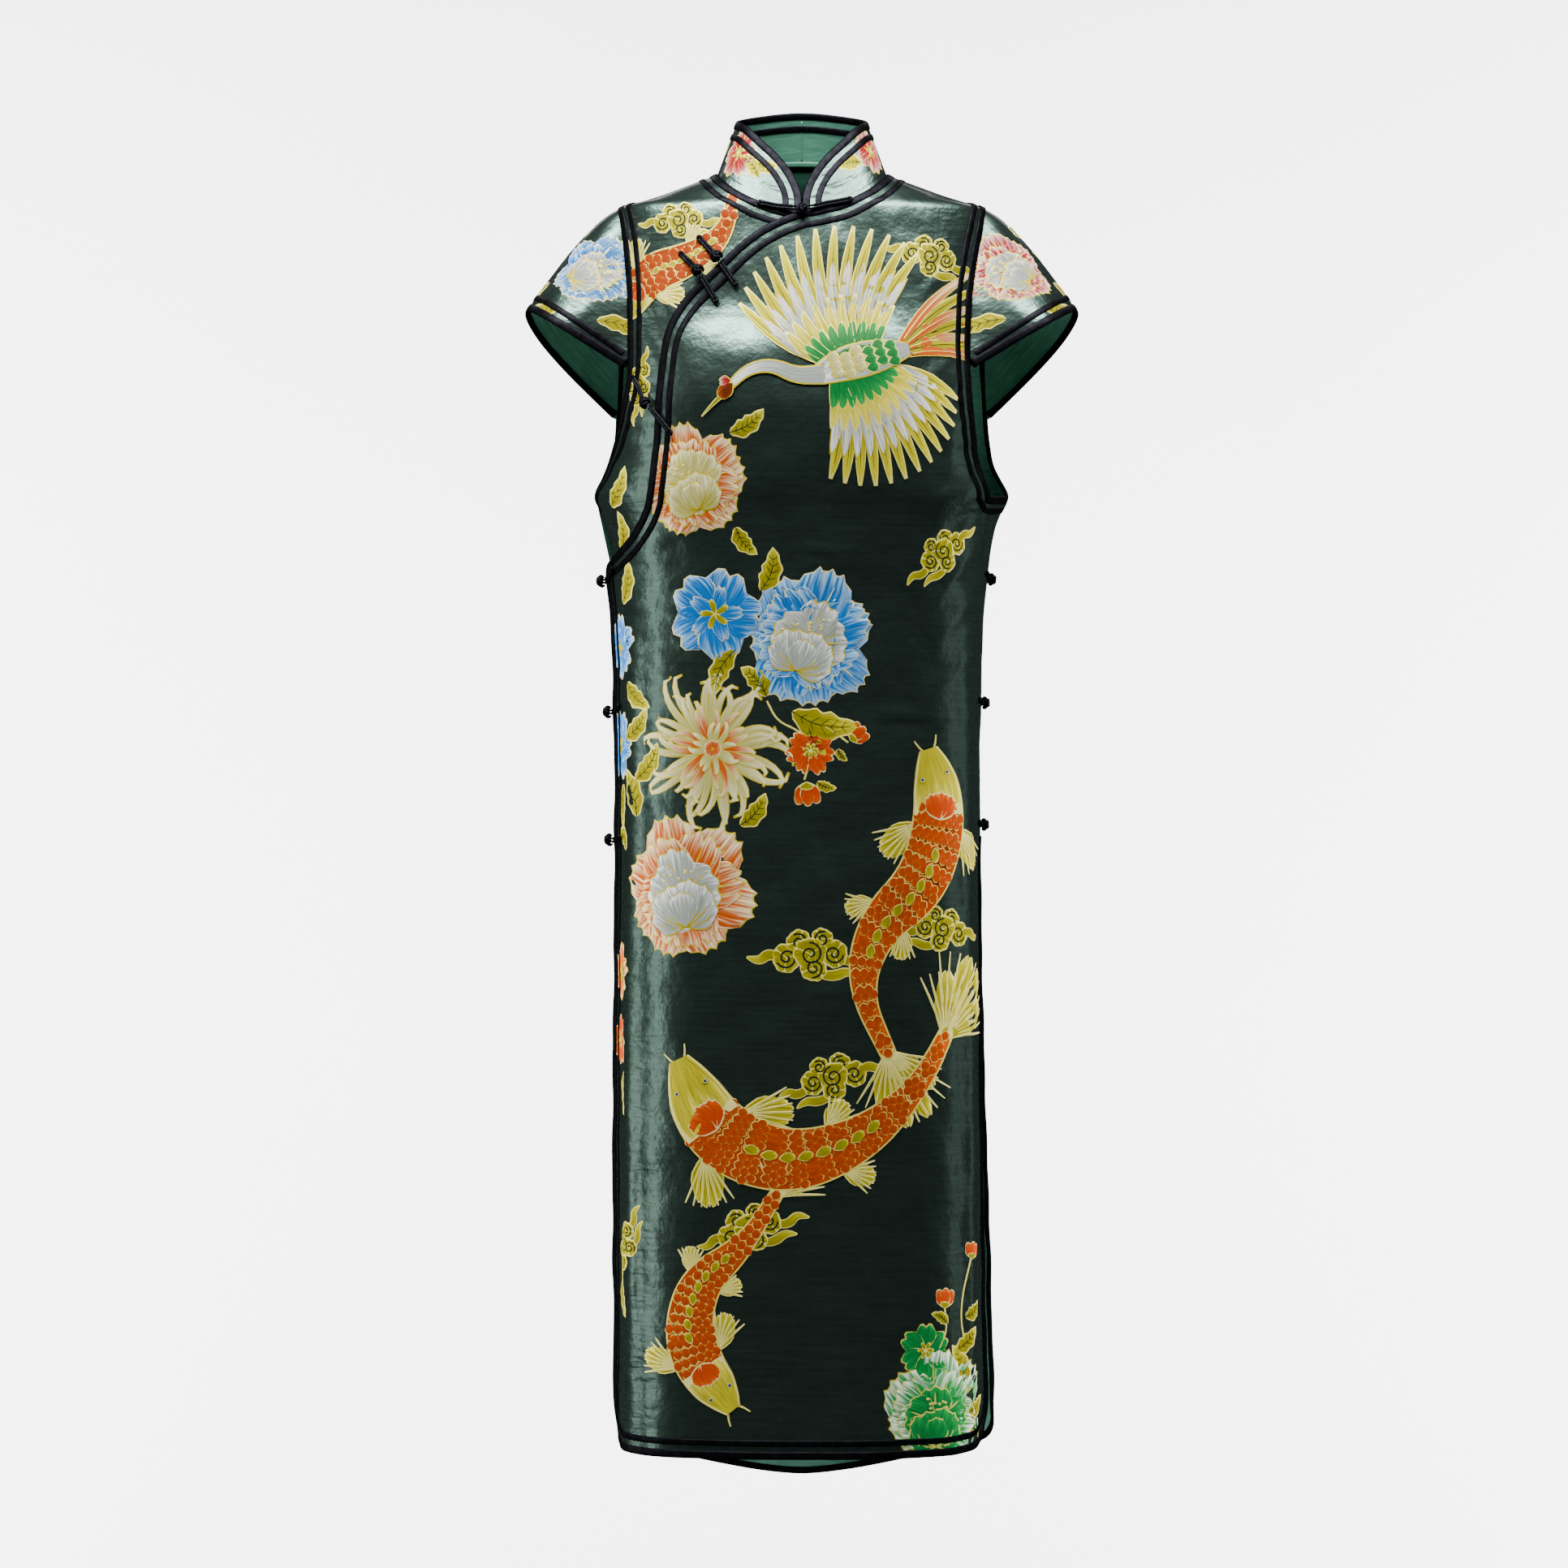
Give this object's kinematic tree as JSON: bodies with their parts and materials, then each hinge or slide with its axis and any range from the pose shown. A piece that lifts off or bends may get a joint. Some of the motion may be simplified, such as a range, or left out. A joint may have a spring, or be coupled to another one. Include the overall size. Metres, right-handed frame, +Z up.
{
  "type": "qipao",
  "caption": "Long dark green satin brocade qipao, worn shape without a wearer, with a standing collar, slanted lapel, cap sleeves, knot buttons and side slits.",
  "frame": {"origin": "between the shoulders, on the middle line and at the height of the side neck points, where the dress rests on whoever wears it", "axes": "+X to the wearer's left, -Y to the front, +Z up"},
  "size_m": [0.5468, 0.2448, 1.3587],
  "materials": {
    "satin_brocade": "satin",
    "black_satin_binding": "satin",
    "black_knot_cord": "satin"
  },
  "bodies": {
    "root": {"back_panel": "satin_brocade", "binding_back_edge": "black_satin_binding", "binding_back_neck": "black_satin_binding", "binding_collar": "black_satin_binding", "binding_flap_neck": "black_satin_binding", "binding_front_edge": "black_satin_binding", "binding_left_armhole": "black_satin_binding", "binding_left_sleeve": "black_satin_binding", "binding_right_armhole": "black_satin_binding", "binding_right_sleeve": "black_satin_binding", "collar": "satin_brocade", "frog_chest_lower_knot": "black_knot_cord", "frog_chest_lower_loop": "black_knot_cord", "frog_chest_upper_knot": "black_knot_cord", "frog_chest_upper_loop": "black_knot_cord", "frog_left_lower_knot": "black_knot_cord", "frog_left_lower_loop": "black_knot_cord", "frog_left_middle_knot": "black_knot_cord", "frog_left_middle_loop": "black_knot_cord", "frog_left_upper_knot": "black_knot_cord", "frog_left_upper_loop": "black_knot_cord", "frog_neck_knot": "black_knot_cord", "frog_neck_loop": "black_knot_cord", "frog_right_lower_knot": "black_knot_cord", "frog_right_lower_loop": "black_knot_cord", "frog_right_middle_knot": "black_knot_cord", "frog_right_middle_loop": "black_knot_cord", "frog_right_upper_knot": "black_knot_cord", "frog_right_upper_loop": "black_knot_cord", "frog_underarm_knot": "black_knot_cord", "frog_underarm_loop": "black_knot_cord", "front_panel": "satin_brocade", "piping_back_edge": "black_satin_binding", "piping_back_neck": "black_satin_binding", "piping_collar": "black_satin_binding", "piping_collar_inside": "black_satin_binding", "piping_flap_neck": "black_satin_binding", "piping_front_edge": "black_satin_binding", "piping_left_armhole": "black_satin_binding", "piping_left_sleeve": "black_satin_binding", "piping_right_armhole": "black_satin_binding", "piping_right_sleeve": "black_satin_binding", "sleeve_left": "satin_brocade", "sleeve_right": "satin_brocade", "under_flap": "satin_brocade"}
  },
  "joints": []
}
